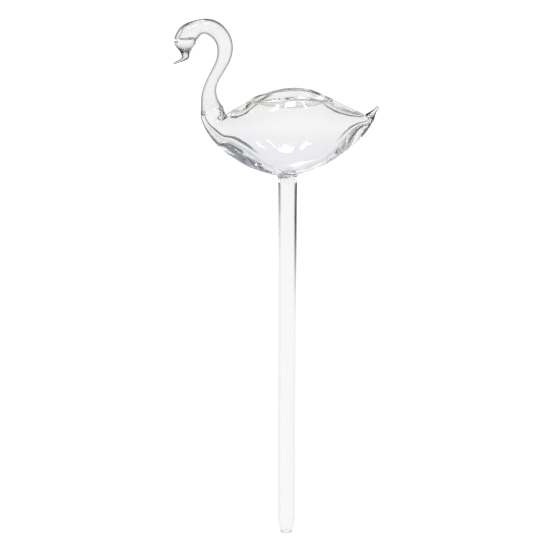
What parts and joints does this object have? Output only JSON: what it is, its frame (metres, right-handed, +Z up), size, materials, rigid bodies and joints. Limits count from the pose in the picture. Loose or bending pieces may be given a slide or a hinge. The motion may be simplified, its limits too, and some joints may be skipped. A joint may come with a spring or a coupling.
{
  "type": "watering globe",
  "caption": "Hollow clear glass swan on a long open-ended glass stem, pushed into potting soil to feed water slowly.",
  "frame": {"origin": "the middle of the weld between the stem and the swan's belly, at the top of the stem", "axes": "+Z up along the stem's axis, the swan looks towards -X, its tail points towards +X, and Y runs across it"},
  "size_m": [0.1094, 0.044, 0.2891],
  "materials": {
    "clear_glass": "flame-polished, clear"
  },
  "bodies": {
    "root": {"reservoir_body": "clear_glass", "neck_and_head": "clear_glass", "bill": "clear_glass", "tail_tip": "clear_glass", "stem_tube": "clear_glass"}
  },
  "joints": []
}
